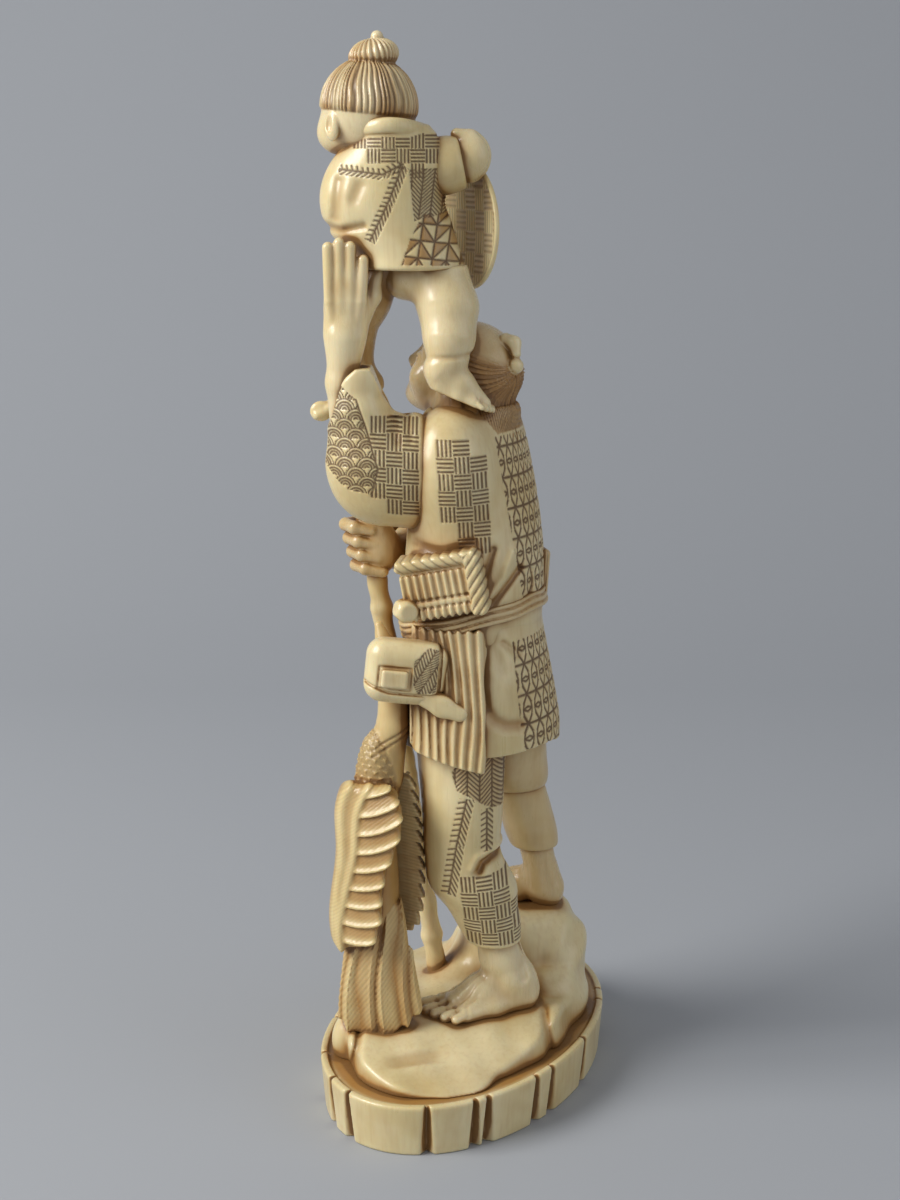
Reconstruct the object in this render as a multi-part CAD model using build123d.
from build123d import *
import os
from math import cos, radians, sin

# Okimono carving: a man lifts a child to his shoulder, with a tall bird at his side, on a rock and plinth.
# It is a sectional carving: each garment, limb and attribute is its own piece, pegged to its neighbours.
# Millimetres, +Z up, origin at the centre of the plinth's underside. The man faces -Y, his left is +X.
# The child and what hangs at the man's left hip are set out in a side frame, turned about Z:
# its X runs to the child's right and its Y runs forward, the way the child faces.

# Plinth
PLINTH_LENGTH = 104.0
PLINTH_WIDTH = 66.0
PLINTH_HEIGHT = 13.0
PLINTH_FLARE = 1.1
PLINTH_RIM = 2.0
RECESS_DEPTH = 0.8
GROOVE_DEPTH = 2.2
GROOVE_TOP_WIDTH = 1.5
GROOVE_FOOT_WIDTH = 3.4
GROOVE_ANGLES = (20.0, 38.5, 43.5, 63.5, 71.0, 91.0, 118.0, 126.0, 152.0, 171.0, 178.0, 203.0,
                 224.0, 230.0, 256.0, 279.0, 286.0, 310.0, 329.0, 342.5)

# Rock
ROCK_LENGTH = 88.0
ROCK_WIDTH = 53.0
ROCK_HEIGHT = 8.0
STEP_HEIGHT = 26.0
STEP_HALF_X = 14.0
STEP_HALF_Y = 15.5

# Heights of the figure
LEG_LENGTH = 67.0
SKIRT_LENGTH = 33.0
TORSO_LENGTH = 50.0
CHILD_LIFT = 35.0
CHILD_TORSO = 31.0

# Half sizes of the man's clothes and limbs
WAIST_HALF_X = 20.5
WAIST_HALF_Y = 16.0
HEM_HALF_X = 24.0
HEM_HALF_Y = 18.5
SKIRT_WALL = 2.2
SKIRT_HOLLOW = 6.0
BELT_WIDTH = 7.5
BELT_PROUD = 1.8
BELT_SLOPE = 17.0
APRON_THICKNESS = 2.4
APRON_LENGTH = 35.0
THIGH_RADIUS = 11.6
CUFF_RADIUS = 7.1
SHIN_RADIUS = 4.5
GAITER_RADIUS = 5.4
FOREARM_RADIUS = 4.3
STAFF_RADIUS = 2.5
STAFF_ABOVE_FIST = 11.0
HEAD_HALF_X = 11.5
HEAD_HALF_Y = 13.6
HEAD_HALF_Z = 13.6
HEAD_TILT = 24.0

# Child, basket and bird
SIDE_TURN = 114.0
CHILD_HEAD_RADIUS = 11.7
CHILD_ANKLE_RADIUS = 4.4
BUN_RADIUS = 6.2
BASKET_RADIUS = 15.0
BASKET_THICKNESS = 1.4
BASKET_RIM = 1.6
BASKET_TURN = 64.0
BIRD_HEIGHT = 36.0
BIRD_HALF_WIDTH = 7.0
WING_THICKNESS = 2.8

# Pegs, sockets and clearances
PEG_RADIUS = 1.0
PEG_CLEARANCE = 0.03
PEG_HALF_LENGTH = 3.5
SHORT_PEG_HALF_LENGTH = 1.6
SOCKET_DEPTH = 5.0
SOCKET_CLEARANCE = 0.3

# Levels worked out from the heights
recess_floor = PLINTH_HEIGHT - RECESS_DEPTH
rock_top = PLINTH_HEIGHT + ROCK_HEIGHT
step_top = PLINTH_HEIGHT + STEP_HEIGHT
hem_level = rock_top + LEG_LENGTH
hip_level = hem_level + SKIRT_HOLLOW
belt_level = hem_level + SKIRT_LENGTH
shoulder_level = belt_level + TORSO_LENGTH
head_level = shoulder_level + 9.5
child_hem = shoulder_level + CHILD_LIFT
child_collar = child_hem + CHILD_TORSO
side_frame = Rot(0, 0, SIDE_TURN)


def column(sections):
    """Smooth solid through level ellipses, each (x, y, level, half size in x, half size in y)."""
    outlines = []
    for x, y, level, half_x, half_y in sections:
        outlines.append(Pos(x, y, level) * Ellipse(half_x, half_y))
    return loft(outlines)


def limb(stations, side=(1, 0, 0)):
    """Smooth solid through ellipses square to a path, each (point, half width along side, half depth)."""
    last = len(stations) - 1
    outlines = []
    for index, (point, half_width, half_depth) in enumerate(stations):
        before = Vector(*stations[max(index - 1, 0)][0])
        after = Vector(*stations[min(index + 1, last)][0])
        along = (after - before).normalized()
        across = Vector(*side) - along * along.dot(Vector(*side))
        outlines.append(Plane(point, x_dir=across, z_dir=along) * Ellipse(half_width, half_depth))
    return loft(outlines)


def ellipsoid(centre, half_sizes, turn=(0, 0, 0)):
    """Ellipsoid with its axes turned by the given angles about X, Y and Z."""
    return Pos(*centre) * Rot(*turn) * scale(Sphere(1.0), by=half_sizes)


def seat(piece, *neighbours):
    """The piece cut back to the faces of its neighbours, keeping its main solid."""
    for neighbour in neighbours:
        piece = piece - neighbour
    return Part() + max(piece.solids(), key=lambda solid: solid.volume)


def rod(centre, direction, radius, half_length):
    """Round rod about a centre."""
    return Plane(centre, z_dir=direction) * Cylinder(radius, 2 * half_length)


def make_plinth():
    """Oval plinth with a rimmed recess in its top and cut grooves, wider at the foot, round its wall."""
    half_x = PLINTH_LENGTH / 2
    half_y = PLINTH_WIDTH / 2
    body = column([(0, 0, 0, half_x - PLINTH_FLARE, half_y - PLINTH_FLARE),
                   (0, 0, PLINTH_HEIGHT, half_x, half_y)])
    recess = Pos(0, 0, recess_floor) * extrude(Ellipse(half_x - PLINTH_RIM, half_y - PLINTH_RIM), RECESS_DEPTH)
    body -= recess
    for angle in GROOVE_ANGLES:
        x = half_x * cos(radians(angle))
        y = half_y * sin(radians(angle))
        outward = Vector(x / half_x ** 2, y / half_y ** 2, 0).normalized()
        body -= groove_cutter(Vector(x, y, 0), outward)
    return body


def groove_cutter(point, outward):
    """Three-sided cutter that widens from the plinth's top edge to its foot."""
    outlines = []
    across = outward.cross(Vector(0, 0, 1))
    for level, width in ((0.0, GROOVE_FOOT_WIDTH), (PLINTH_HEIGHT, GROOVE_TOP_WIDTH)):
        root = point - outward * GROOVE_DEPTH + Vector(0, 0, level)
        mouth = point + outward * GROOVE_DEPTH + Vector(0, 0, level)
        outlines.append(make_face(Polyline(root, mouth + across * width, mouth - across * width, close=True)))
    return loft(outlines, ruled=True)


def make_rock():
    """Low mound that fills the recess, a raised step under the right foot and a lobe at the front."""
    half_x = ROCK_LENGTH / 2
    half_y = ROCK_WIDTH / 2
    mound = column([(0, 0, recess_floor, half_x, half_y),
                    (0, 0, PLINTH_HEIGHT + 0.35 * ROCK_HEIGHT, half_x, half_y),
                    (-0.5, 0.5, PLINTH_HEIGHT + 0.75 * ROCK_HEIGHT, half_x - 4, half_y - 2.5),
                    (-1, 1, rock_top, half_x - 10, half_y - 6)])
    step = column([(-21, 6, recess_floor, STEP_HALF_X + 3, STEP_HALF_Y + 2),
                   (-21, 6, PLINTH_HEIGHT + 0.5 * STEP_HEIGHT, STEP_HALF_X + 1, STEP_HALF_Y),
                   (-21.5, 5, PLINTH_HEIGHT + 0.9 * STEP_HEIGHT, STEP_HALF_X - 1, STEP_HALF_Y - 1),
                   (-22, 4, step_top, STEP_HALF_X - 4, STEP_HALF_Y - 2)])
    lobe = column([(25, -15, recess_floor, 11, 9),
                   (25, -15, PLINTH_HEIGHT + 0.5 * ROCK_HEIGHT, 11, 8.5),
                   (24, -14, rock_top, 8, 6)])
    return mound + step + lobe


def make_left_foot():
    """Bare shin and foot, turned out, flat on the rock."""
    ankle = rock_top + 5
    shin = limb([((6.0, 11.0, cuff_floor), SHIN_RADIUS, SHIN_RADIUS),
                 ((4.8, 13.0, rock_top + 12), SHIN_RADIUS, SHIN_RADIUS),
                 ((3.6, 15.0, ankle), SHIN_RADIUS + 0.5, SHIN_RADIUS + 0.5)])
    foot = limb([((0.4, 18.8, rock_top + 3.6), 3.6, 3.9),
                 ((4.5, 14.8, ankle), 5.0, 5.3),
                 ((10.0, 9.6, rock_top + 4.0), 5.6, 4.4),
                 ((15.5, 4.2, rock_top + 2.4), 6.4, 2.9),
                 ((19.6, 0.2, rock_top + 1.2), 5.0, 1.6)], side=(0.7, 0.7, 0))
    return shin + foot


def make_right_foot():
    """Bare ankle and foot on the raised step."""
    ankle = step_top + 4.6
    shin = limb([((-20.0, 11.6, gaiter_foot), SHIN_RADIUS - 0.5, SHIN_RADIUS - 0.5),
                 ((-21.2, 12.4, step_top + 9), SHIN_RADIUS - 0.6, SHIN_RADIUS - 0.6),
                 ((-21.6, 12.6, ankle), SHIN_RADIUS, SHIN_RADIUS)])
    foot = limb([((-21.6, 15.6, step_top + 3.2), 3.3, 3.4),
                 ((-21.8, 11.0, ankle), 4.6, 4.8),
                 ((-22.3, 4.0, step_top + 3.5), 5.2, 3.8),
                 ((-22.8, -3.0, step_top + 2.0), 5.9, 2.5),
                 ((-22.8, -7.5, step_top + 1.1), 4.6, 1.5)])
    return shin + foot


def make_left_trouser():
    """Full trouser leg that narrows to the cuff, with a socket for the shin."""
    leg = limb([((8.4, 2.2, hip_level), THIGH_RADIUS, THIGH_RADIUS),
                ((9.4, 3.4, hem_level - 12), THIGH_RADIUS - 0.2, THIGH_RADIUS),
                ((9.6, 5.2, hem_level - 27), THIGH_RADIUS - 0.6, THIGH_RADIUS),
                ((7.8, 8.6, cuff_level + 9), CUFF_RADIUS + 2.2, CUFF_RADIUS + 2.4),
                ((6.2, 11.0, cuff_level), CUFF_RADIUS, CUFF_RADIUS)])
    socket = rod((6.0, 11.0, cuff_floor - SOCKET_DEPTH), (0, 0, 1), SHIN_RADIUS + 1.0, SOCKET_DEPTH)
    return leg - socket


def make_right_trouser():
    """Bent right thigh down to the knee band."""
    return limb([((-11.5, 4.6, hip_level), THIGH_RADIUS - 0.4, THIGH_RADIUS),
                 ((-14.0, 4.6, hem_level - 9), THIGH_RADIUS - 1.0, THIGH_RADIUS),
                 ((-16.2, 6.6, knee_level), THIGH_RADIUS - 2.8, THIGH_RADIUS - 2.0)])


def make_right_gaiter():
    """Narrow gaiter from the knee band to above the ankle."""
    return limb([((-16.6, 7.6, knee_level), GAITER_RADIUS + 1.4, GAITER_RADIUS + 1.6),
                 ((-18.2, 9.6, knee_level - 8), GAITER_RADIUS + 0.4, GAITER_RADIUS + 0.6),
                 ((-20.0, 11.6, gaiter_foot), GAITER_RADIUS - 0.4, GAITER_RADIUS - 0.4)])


def skirt_sections(proud, foot):
    """Sections of the jacket below the belt, grown by a given amount and carried down to a given level."""
    return [(-0.8, 1.8, belt_level, WAIST_HALF_X + proud, WAIST_HALF_Y + proud),
            (-1.0, 2.4, belt_level - 0.3 * SKIRT_LENGTH, WAIST_HALF_X + 1.4 + proud, WAIST_HALF_Y + 1.0 + proud),
            (-1.3, 3.0, belt_level - 0.65 * SKIRT_LENGTH, HEM_HALF_X - 0.8 + proud, HEM_HALF_Y - 0.5 + proud),
            (-1.6, 3.7, foot, HEM_HALF_X + proud, HEM_HALF_Y + proud)]


def make_skirt():
    """Jacket below the belt, hollowed at the hem for the legs."""
    hollow = Pos(-1.6, 3.7, hem_level) * extrude(Ellipse(HEM_HALF_X - SKIRT_WALL, HEM_HALF_Y - SKIRT_WALL),
                                                SKIRT_HOLLOW)
    return column(skirt_sections(0, hem_level)) - hollow


def make_jacket():
    """Jacket from the belt to the collar."""
    return column([(-0.8, 1.8, belt_level, WAIST_HALF_X, WAIST_HALF_Y),
                   (-0.9, 1.9, belt_level + 0.2 * TORSO_LENGTH, WAIST_HALF_X + 0.7, WAIST_HALF_Y + 0.6),
                   (-1.0, 2.2, belt_level + 0.5 * TORSO_LENGTH, WAIST_HALF_X + 1.0, WAIST_HALF_Y - 0.4),
                   (-1.1, 2.6, belt_level + 0.74 * TORSO_LENGTH, WAIST_HALF_X + 0.3, WAIST_HALF_Y - 2.2),
                   (-1.2, 3.2, belt_level + 0.9 * TORSO_LENGTH, WAIST_HALF_X - 2.5, WAIST_HALF_Y - 4.0),
                   (-1.3, 3.8, shoulder_level, WAIST_HALF_X - 9.0, WAIST_HALF_Y - 7.0)])


def make_belt():
    """Sash round the waist, lower at the front."""
    half_width = BELT_WIDTH / 2
    band = column([(0, 0, -half_width, WAIST_HALF_X + BELT_PROUD, WAIST_HALF_Y + BELT_PROUD + 0.8),
                   (0, 0, 0, WAIST_HALF_X + BELT_PROUD + 0.5, WAIST_HALF_Y + BELT_PROUD + 1.3),
                   (0, 0, half_width, WAIST_HALF_X + BELT_PROUD, WAIST_HALF_Y + BELT_PROUD + 0.8)])
    return Pos(-0.8, 1.8, belt_level) * Rot(BELT_SLOPE, 0, 0) * band


def make_apron():
    """Ridged cloth panel that hangs over the left hip."""
    foot = belt_level - APRON_LENGTH
    shell = column(skirt_sections(APRON_THICKNESS, foot))
    inside = Pos(-1.6, 3.7, hip_level) * extrude(Ellipse(HEM_HALF_X - 0.1, HEM_HALF_Y - 0.1), -2 * APRON_LENGTH)
    panel = side_frame * (Pos(-5, -20, belt_level) * Box(18, 30, 4 * APRON_LENGTH))
    return (shell & panel) - inside


def make_left_sleeve():
    """Full sleeve of the raised arm, from the shoulder round to a cuff that points up."""
    sack = ellipsoid((-18.5, -12.3, shoulder_level - 12), (14.5, 10.5, 13.2))
    cuff = limb([((-24.5, -12.4, shoulder_level - 9), 10.2, 9.2),
                 ((-25.4, -12.5, shoulder_level), 8.4, 8.0),
                 ((-25.4, -12.5, sleeve_top), FOREARM_RADIUS + 2.3, FOREARM_RADIUS + 2.3)])
    socket = rod((-25.6, -12.5, sleeve_top), (0, 0, 1), FOREARM_RADIUS + SOCKET_CLEARANCE, SOCKET_DEPTH)
    return side_frame * (sack + cuff - socket)


def make_left_forearm():
    """Bare forearm and open hand that carries the child."""
    return side_frame * limb([((-25.6, -12.5, sleeve_top - SOCKET_DEPTH), FOREARM_RADIUS, FOREARM_RADIUS),
                              ((-27.2, -13.0, sleeve_top + 6), FOREARM_RADIUS - 0.2, FOREARM_RADIUS - 0.4),
                              ((-28.2, -13.0, child_hem - 15), FOREARM_RADIUS, FOREARM_RADIUS - 0.6),
                              ((-27.5, -13.0, child_hem - 7), 6.3, 3.6),
                              ((-26.2, -13.2, child_hem), 6.3, 2.9),
                              ((-25.0, -13.4, child_hem + 7.2), 4.6, 2.2)])


def make_right_sleeve():
    """Sleeve of the right arm, bent across the front."""
    upper = ellipsoid((-20, -1, shoulder_level - 18), (9.0, 11.5, 15.0), turn=(-14, 0, 0))
    lower = limb([((-21.5, -6, shoulder_level - 27), 7.5, 9.5),
                  ((-15, -15, shoulder_level - 31), 7.0, 8.6),
                  ((-6, -20, shoulder_level - 33), 5.6, 6.6)], side=(0, 0, 1))
    return upper + lower


def make_right_hand():
    """Wrist and closed fist round the staff."""
    wrist = limb([((-7, -19.8, shoulder_level - 33), 3.4, 3.4),
                  ((0, -21.4, shoulder_level - 33), 3.6, 3.4),
                  ((5, -22.0, shoulder_level - 33), 4.4, 3.8)], side=(0, 0, 1))
    return wrist + ellipsoid((7.6, -22.3, shoulder_level - 33), (5.2, 5.4, 7.0))


def make_man_head():
    """Head thrown back on its neck, with the hair drawn to a knot behind."""
    skull = ellipsoid((-1.3, -0.8, head_level + 1.0), (HEAD_HALF_X, HEAD_HALF_Y, HEAD_HALF_Z),
                      turn=(-HEAD_TILT, 0, 0))
    jaw = ellipsoid((-1.3, -7.0, head_level - 4.5), (HEAD_HALF_X - 3.0, 7.6, 8.2), turn=(-HEAD_TILT, 0, 0))
    neck = limb([((-1.3, 3.0, shoulder_level - 8), 8.0, 7.6),
                 ((-1.3, 0.5, head_level - 4), 7.8, 7.4)])
    knot = ellipsoid((-1.3, 12.2, head_level + 5.0), (3.4, 3.0, 3.4))
    return skull + jaw + neck + knot


def make_staff():
    """Walking staff that stands on the rock, passes before the jacket and ends above the right fist."""
    foot = Vector(-7.0, -11.3, rock_top - 1)
    fist = Vector(7.6, -22.3, shoulder_level - 33)
    top = fist + (fist - foot).normalized() * STAFF_ABOVE_FIST
    return rod((top + foot) * 0.5, top - foot, STAFF_RADIUS, (top - foot).length / 2)


def make_creel():
    """Small woven creel on the left hip, with a raised border on its top and end."""
    box = fillet(Box(19, 11, 14.5).edges().filter_by(Axis.Y), 1.5)
    border_top = Pos(0, -1.0, 7.0) * Box(19.6, 11, 2.2)
    border_end = Pos(9.2, -1.0, 0) * Box(2.6, 11, 15.4)
    return side_frame * (Pos(-5.8, -18.2, belt_level + 12.0) * Rot(0, -11, -8) * (box + border_top + border_end))


def make_pouch():
    """Tobacco pouch with a turned-down flap."""
    bag = fillet(Box(20, 8.4, 15.6).edges(), 3.2)
    flap = Pos(0, -3.9, 3.2) * fillet(Box(18.5, 1.8, 8.6).edges().filter_by(Axis.Y), 3.0)
    return pouch_frame * (bag + flap)


def make_clasp():
    """Small clasp plate at the flap's edge."""
    return pouch_frame * (Pos(-3.0, -5.3, -0.6) * fillet(Box(6.2, 1.0, 4.8).edges().filter_by(Axis.Y), 0.6))


def make_pipe_case():
    """Rounded end of the pipe case, below the pouch."""
    return side_frame * limb([((-10.0, -22.0, belt_level - 13.5), 3.4, 2.6),
                              ((-5.0, -22.0, belt_level - 17.0), 3.2, 2.6),
                              ((-0.5, -21.6, belt_level - 20.0), 2.2, 2.0),
                              ((1.2, -21.4, belt_level - 21.2), 0.9, 0.9)], side=(0, 0, 1))


def make_tucked_fan():
    """Folded fan tucked into the sash behind the right hip."""
    blade = fillet(Box(8.0, 2.8, 22).edges().filter_by(Axis.Y), 2.4)
    return Pos(-13.6, 16.8, belt_level + 8) * Rot(4, 0, 38) * blade


def make_child_jacket():
    """Child's padded jacket."""
    return side_frame * column([(-14.8, -5.0, child_hem, 12.6, 9.8),
                                (-17.2, -5.0, child_hem + 0.25 * CHILD_TORSO, 14.0, 11.0),
                                (-18.8, -5.0, child_hem + 0.48 * CHILD_TORSO, 13.8, 11.0),
                                (-18.8, -5.0, child_hem + 0.72 * CHILD_TORSO, 11.8, 9.2),
                                (-19.0, -4.5, child_hem + 0.9 * CHILD_TORSO, 8.4, 7.2),
                                (-19.6, -4.2, child_collar, 5.4, 5.4)])


def make_child_head():
    """Child's head with a bobbed cap of hair and a bun with a small tip."""
    radius = CHILD_HEAD_RADIUS
    skull = column([(-22.4, -4.0, child_collar - 0.5 * radius, 0.36 * radius, 0.4 * radius),
                    (-22.4, -4.0, child_collar - 0.25 * radius, 0.76 * radius, 0.8 * radius),
                    (-22.4, -4.0, child_collar + 0.15 * radius, 0.96 * radius, radius),
                    (-22.4, -4.2, child_collar + 0.5 * radius, 1.05 * radius, 1.08 * radius),
                    (-22.4, -4.2, child_collar + 0.8 * radius, radius, 1.03 * radius),
                    (-22.2, -4.0, child_collar + 1.1 * radius, 0.74 * radius, 0.77 * radius),
                    (-22.0, -4.0, child_collar + 1.26 * radius, 0.4 * radius, 0.42 * radius)])
    bun_level = child_collar + 1.45 * radius
    bun = ellipsoid((-21.4, -4.0, bun_level), (BUN_RADIUS, BUN_RADIUS, 0.7 * BUN_RADIUS), turn=(4, 7, 0))
    tip = limb([((-21.3, -3.9, bun_level + 0.5 * BUN_RADIUS), 0.32 * BUN_RADIUS, 0.32 * BUN_RADIUS),
                ((-21.1, -3.8, bun_level + 0.98 * BUN_RADIUS), 0.12 * BUN_RADIUS, 0.12 * BUN_RADIUS)])
    return side_frame * (skull + bun + tip)


def make_child_right_sleeve():
    """Child's right sleeve, held out to the basket."""
    return side_frame * limb([((-13, -6.0, child_collar - 8.0), 6.4, 6.4),
                              ((-6, -5.6, child_collar - 6.4), 6.0, 6.2),
                              ((-0.5, -4.4, child_collar - 6.0), 4.8, 5.2)], side=(0, 1, 0))


def make_child_right_hand():
    """Child's right fist on the basket's rim."""
    return side_frame * (ellipsoid((2.4, -2.8, child_collar - 6.8), (4.6, 4.6, 4.4)))


def make_child_left_sleeve():
    """Child's left sleeve, reaching forward."""
    return side_frame * limb([((-27, -6.0, child_collar - 9.0), 6.2, 7.4),
                              ((-28.5, 2.0, child_collar - 13.0), 5.8, 7.2),
                              ((-27.5, 9.5, child_collar - 16.0), 4.4, 5.4)])


def make_child_left_hand():
    """Child's left hand beyond its sleeve."""
    return side_frame * limb([((-27.5, 9.5, child_collar - 16.0), 3.0, 3.0),
                              ((-27.2, 12.5, child_collar - 16.8), 3.6, 3.0),
                              ((-26.8, 16.0, child_collar - 17.4), 2.6, 1.8)])


def make_child_right_leg():
    """Child's bare right leg, with its foot planted on the man's left shoulder."""
    ankle = CHILD_ANKLE_RADIUS
    leg = limb([((-9.5, -6.2, child_hem + 1), 8.2, 7.6),
                ((-5.4, -9.6, child_hem - 9), ankle + 2.2, ankle + 2.2),
                ((-4.0, -12.0, child_hem - 17), ankle + 0.6, ankle + 0.8),
                ((-4.4, -12.6, child_hem - 25), ankle, ankle + 0.6)])
    foot = limb([((-8.6, -12.6, child_hem - 25.4), 3.0, 3.2),
                 ((-5.0, -12.6, child_hem - 26.4), 4.0, 5.6),
                 ((0.5, -11.8, child_hem - 29.8), 4.6, 6.4),
                 ((5.6, -11.0, child_hem - 31.6), 3.8, 2.8)], side=(0, 1, 0))
    return side_frame * (leg + foot)


def make_child_left_leg():
    """Child's bare left leg, with its foot hanging free beside the man's raised arm."""
    ankle = CHILD_ANKLE_RADIUS
    leg = limb([((-21.5, -2.0, child_hem + 1), 7.6, 7.0),
                ((-22.6, 1.4, child_hem - 9), ankle + 1.4, ankle + 1.4),
                ((-22.8, 3.0, child_hem - 18), ankle - 0.4, ankle),
                ((-22.6, 3.4, child_hem - 26), ankle - 0.8, ankle - 0.4)])
    foot = limb([((-18.8, 3.4, child_hem - 25.6), 2.6, 2.8),
                 ((-22.6, 3.4, child_hem - 27.4), 3.6, 3.6),
                 ((-28.0, 3.0, child_hem - 30.6), 4.0, 3.0),
                 ((-34.4, 2.4, child_hem - 34.0), 3.4, 2.4)], side=(0, 1, 0))
    return side_frame * (leg + foot)


def make_basket():
    """Round woven tray with a rolled rim, held on edge."""
    face = (-sin(radians(BASKET_TURN)), -cos(radians(BASKET_TURN)), 0)
    plane = Plane((0.8, 4.0, child_collar - 22.5), z_dir=face)
    tray = Cylinder(BASKET_RADIUS, BASKET_THICKNESS)
    rim = Torus(BASKET_RADIUS - BASKET_RIM, BASKET_RIM)
    return side_frame * (plane * (tray + rim))


def make_bird_body():
    """Upright bird: body, neck stretched up, head and beak, and two legs with spread feet."""
    crown = bird_neck + BIRD_HEIGHT
    body = ellipsoid((22.8, -13, bird_neck - 22), (BIRD_HALF_WIDTH, 9.4, 27), turn=(6, 0, 0))
    neck = limb([((22.4, -15, bird_neck - 4), 6.0, 6.6),
                 ((21.6, -16, bird_neck + 0.3 * BIRD_HEIGHT), 5.0, 5.2),
                 ((20.6, -15, bird_neck + 0.65 * BIRD_HEIGHT), 4.0, 4.4),
                 ((20.0, -15, crown - 4), 3.6, 4.2),
                 ((19.4, -15.4, crown), 2.2, 2.4),
                 ((18.9, -15.4, crown + 4), 0.9, 0.9)])
    bird = body + neck
    for x in (20.6, 25.4):
        bird += limb([((x, -15, bird_neck - 40), 3.0, 3.4),
                      ((x, -17, rock_top + 8), 1.8, 1.8),
                      ((x, -17.5, rock_top - 4), 2.4, 2.6)])
        bird += ellipsoid((x, -18.5, rock_top), (2.3, 4.6, 1.2))
    return bird


def make_bird_left_wing():
    """Folded left wing, from the shoulder to the tips of the long feathers."""
    return column([(26.4, -13.0, bird_neck + 2, WING_THICKNESS - 0.6, 4.6),
                   (28.2, -12.0, bird_neck - 6, WING_THICKNESS, 9.6),
                   (29.4, -12.4, bird_neck - 20, WING_THICKNESS, 9.8),
                   (30.4, -14.4, bird_neck - 32, WING_THICKNESS - 0.4, 7.4),
                   (31.0, -16.6, bird_neck - 41, WING_THICKNESS - 1.4, 3.2)])


def make_bird_right_wing():
    """Folded right wing, beside the man's leg."""
    return column([(18.6, -12.0, bird_neck + 2, WING_THICKNESS - 0.8, 4.4),
                   (16.6, -11.4, bird_neck - 6, WING_THICKNESS - 0.4, 8.6),
                   (15.4, -11.4, bird_neck - 20, WING_THICKNESS - 0.4, 8.2),
                   (15.4, -9.6, bird_neck - 32, WING_THICKNESS - 0.8, 5.6),
                   (16.0, -7.6, bird_neck - 40, WING_THICKNESS - 1.6, 2.6)])


def make_bird_tail():
    """Long tail feathers, spread down to the rock."""
    return side_frame * column([(-22.0, -20.0, bird_neck - 30, 7.0, 3.4),
                                (-22.4, -21.6, bird_neck - 44, 8.6, 3.6),
                                (-21.8, -22.6, bird_neck - 56, 9.8, 3.2),
                                (-21.2, -23.4, rock_top - 3, 10.4, 2.6)])


# Levels that several pieces share
cuff_level = rock_top + 18
cuff_floor = cuff_level + SOCKET_DEPTH
knee_level = hem_level - 18
gaiter_foot = step_top + 15
sleeve_top = shoulder_level + 8.5
bird_neck = rock_top + 61
pouch_frame = side_frame * Pos(-14.6, -21.6, belt_level - 8.5) * Rot(0, 6, 4)

# Pieces, each cut back to the ones that it stands on or lies against
plinth = make_plinth()
rock = make_rock()
jacket = make_jacket()
skirt = make_skirt()
belt = seat(make_belt(), jacket, skirt)
left_trouser = seat(make_left_trouser(), skirt)
right_trouser = seat(make_right_trouser(), skirt, left_trouser)
right_gaiter = seat(make_right_gaiter(), right_trouser, left_trouser)
left_foot = seat(make_left_foot(), rock, left_trouser)
right_foot = seat(make_right_foot(), rock, right_gaiter)
left_sleeve = seat(make_left_sleeve(), jacket)
child_jacket = seat(make_child_jacket())
left_forearm = seat(make_left_forearm(), left_sleeve, child_jacket)
man_head = seat(make_man_head(), jacket, left_sleeve)
right_sleeve = seat(make_right_sleeve(), jacket, belt)
staff = seat(make_staff(), rock, belt, skirt, jacket, left_sleeve)
right_hand = seat(make_right_hand(), staff, right_sleeve, jacket)
child_head = seat(make_child_head(), child_jacket)
child_right_sleeve = seat(make_child_right_sleeve(), child_jacket, child_head)
child_left_sleeve = seat(make_child_left_sleeve(), child_jacket, child_head)
child_left_hand = seat(make_child_left_hand(), child_left_sleeve)
child_right_leg = seat(make_child_right_leg(), child_jacket, jacket, man_head, left_sleeve)
child_left_leg = seat(make_child_left_leg(), child_jacket, child_right_leg, man_head, staff)
basket = seat(make_basket(), child_jacket, child_right_sleeve)
child_right_hand = seat(make_child_right_hand(), basket, child_right_sleeve, child_jacket)
creel = seat(make_creel(), jacket, belt)
pouch = seat(make_pouch(), skirt, belt)
clasp = seat(make_clasp(), pouch)
pipe_case = seat(make_pipe_case(), pouch, skirt)
apron = seat(make_apron(), skirt, belt, pouch, pipe_case, left_trouser)
bead = seat(side_frame * ellipsoid((-14.6, -22.4, belt_level + 6.4), (3.2, 3.2, 2.9)), creel, belt, pouch)
tucked_fan = seat(make_tucked_fan(), jacket, belt, skirt)
bird_body = seat(make_bird_body(), rock, pouch, skirt, left_trouser, belt, staff, apron)
bird_left_wing = seat(make_bird_left_wing(), bird_body, pouch)
bird_right_wing = seat(make_bird_right_wing(), bird_body, left_trouser, skirt)
bird_tail = seat(make_bird_tail(), rock, bird_body, bird_left_wing, bird_right_wing)

pieces = {"plinth": plinth, "rock_base": rock, "left_foot": left_foot, "right_foot": right_foot,
          "left_trouser": left_trouser, "right_trouser": right_trouser, "right_gaiter": right_gaiter,
          "jacket_skirt": skirt, "jacket_body": jacket, "belt": belt, "hip_apron": apron,
          "left_sleeve": left_sleeve, "left_forearm": left_forearm, "right_sleeve": right_sleeve,
          "right_hand": right_hand, "staff": staff, "man_head": man_head, "creel": creel, "bead": bead,
          "tobacco_pouch": pouch, "pouch_clasp": clasp, "pipe_case": pipe_case, "tucked_fan": tucked_fan,
          "child_jacket": child_jacket, "child_head": child_head, "child_right_sleeve": child_right_sleeve,
          "child_right_hand": child_right_hand, "child_left_sleeve": child_left_sleeve,
          "child_left_hand": child_left_hand, "child_right_leg": child_right_leg,
          "child_left_leg": child_left_leg, "basket": basket, "bird_body": bird_body,
          "bird_left_wing": bird_left_wing, "bird_right_wing": bird_right_wing, "bird_tail": bird_tail}


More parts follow.
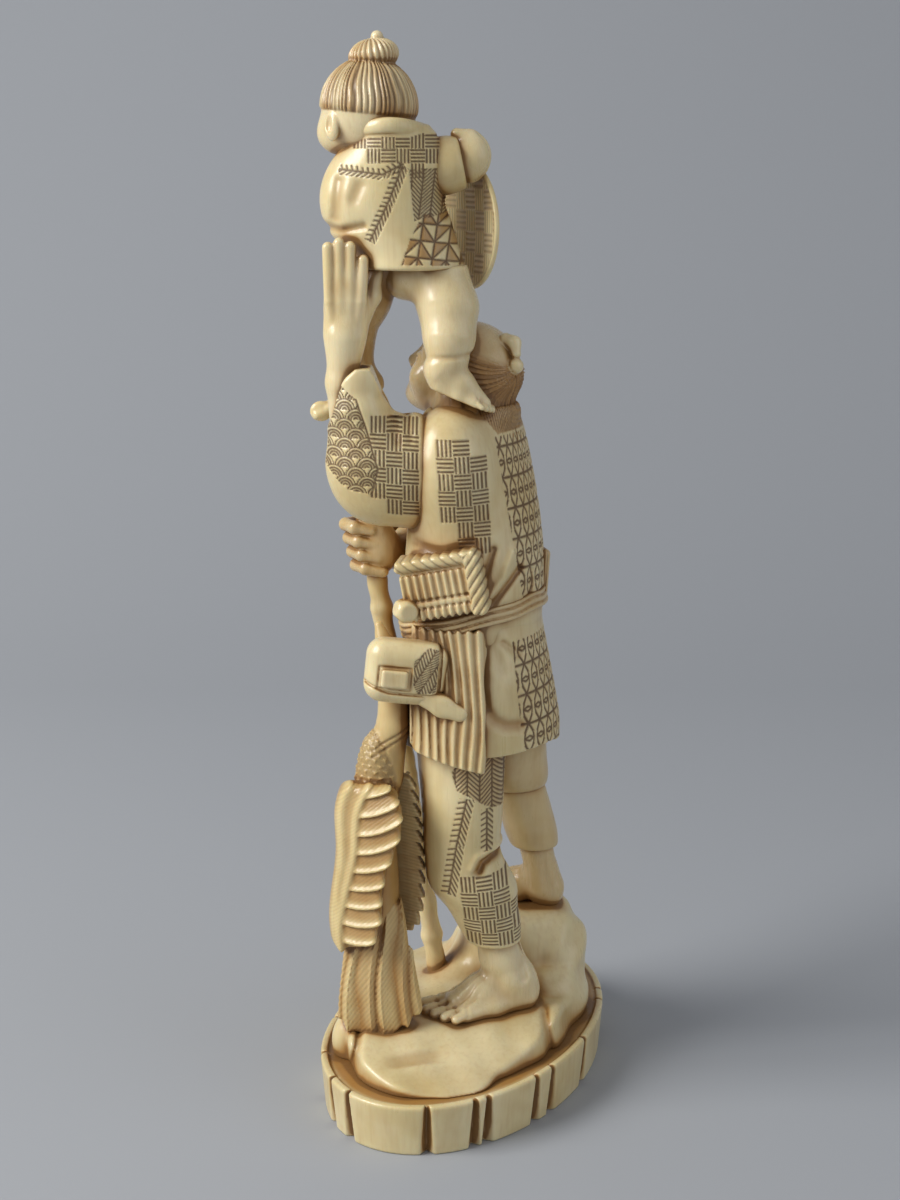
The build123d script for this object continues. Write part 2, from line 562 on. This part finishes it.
def fasten(set_name, joints):
    """Pegs of one set, each (centre, direction, half length, first piece, second piece), drilled into both."""
    rods = []
    for centre, direction, half_length, first, second in joints:
        hole = rod(centre, direction, PEG_RADIUS + PEG_CLEARANCE, half_length + PEG_CLEARANCE)
        for owner in (first, second):
            pieces[owner] = pieces[owner] - hole
        rods.append(rod(centre, direction, PEG_RADIUS, half_length))
    pieces[set_name] = Compound(children=rods)


def beside(x, y, z):
    """Point of the side frame, in the part's own frame."""
    return (side_frame * Pos(x, y, z)).position


def toward(x, y, z):
    """Direction of the side frame, in the part's own frame."""
    return beside(x, y, z)


UP = (0, 0, 1)
fasten("plinth_pegs", [((-24, -2, recess_floor), UP, PEG_HALF_LENGTH, "plinth", "rock_base"),
                       ((4, 10, recess_floor), UP, PEG_HALF_LENGTH, "plinth", "rock_base"),
                       ((24, 0, recess_floor), UP, PEG_HALF_LENGTH, "plinth", "rock_base")])
fasten("foot_pegs", [((7.5, 12.0, rock_top), UP, PEG_HALF_LENGTH, "rock_base", "left_foot"),
                     ((-22.2, 5.0, step_top), UP, PEG_HALF_LENGTH, "rock_base", "right_foot")])
fasten("leg_pegs", [((8.6, 2.4, hip_level), UP, PEG_HALF_LENGTH, "left_trouser", "jacket_skirt"),
                    ((-11.6, 4.6, hip_level), UP, PEG_HALF_LENGTH, "right_trouser", "jacket_skirt"),
                    ((-16.4, 7.0, knee_level), UP, PEG_HALF_LENGTH, "right_trouser", "right_gaiter"),
                    ((-20.0, 11.6, gaiter_foot), UP, PEG_HALF_LENGTH, "right_gaiter", "right_foot"),
                    ((6.0, 11.0, cuff_floor), UP, PEG_HALF_LENGTH, "left_trouser", "left_foot")])
fasten("waist_pegs", [((-8.0, 1.8, belt_level), UP, PEG_HALF_LENGTH, "jacket_skirt", "jacket_body"),
                      ((8.0, 1.8, belt_level), UP, PEG_HALF_LENGTH, "jacket_skirt", "jacket_body")])
fasten("arm_pegs", [(beside(-13.2, -9.1, shoulder_level - 12), toward(-0.86, -0.51, 0), PEG_HALF_LENGTH,
                     "jacket_body", "left_sleeve"),
                    ((-21.0, -1.2, shoulder_level - 18), (-1, -0.18, 0), PEG_HALF_LENGTH,
                     "jacket_body", "right_sleeve"),
                    (beside(-25.6, -12.5, sleeve_top - SOCKET_DEPTH), UP, PEG_HALF_LENGTH,
                     "left_sleeve", "left_forearm"),
                    ((-6.0, -20.0, shoulder_level - 33), (1, -0.2, 0), PEG_HALF_LENGTH,
                     "right_sleeve", "right_hand")])
fasten("neck_pegs", [((-1.3, 2.6, shoulder_level), UP, PEG_HALF_LENGTH, "jacket_body", "man_head"),
                     (beside(-20.2, -4.2, child_collar), UP, PEG_HALF_LENGTH, "child_jacket", "child_head")])
fasten("child_pegs", [(beside(-9.6, -6.4, child_hem), UP, PEG_HALF_LENGTH, "child_jacket", "child_right_leg"),
                      (beside(-21.6, -2.0, child_hem), UP, PEG_HALF_LENGTH, "child_jacket", "child_left_leg"),
                      (beside(0.0, -11.2, shoulder_level - 1), UP, PEG_HALF_LENGTH,
                       "jacket_body", "child_right_leg")])
fasten("wing_pegs", [((29.8, -13.0, bird_neck - 21), (1, 0, 0), SHORT_PEG_HALF_LENGTH,
                      "bird_body", "bird_left_wing"),
                     ((15.8, -12.4, bird_neck - 21), (1, 0, 0), SHORT_PEG_HALF_LENGTH,
                      "bird_body", "bird_right_wing")])
fasten("tail_peg", [(beside(-21.4, -23.0, rock_top), UP, PEG_HALF_LENGTH, "rock_base", "bird_tail")])

os.makedirs("parts", exist_ok=True)
for name, solid in pieces.items():
    export_step(solid, f"parts/{name}.step")
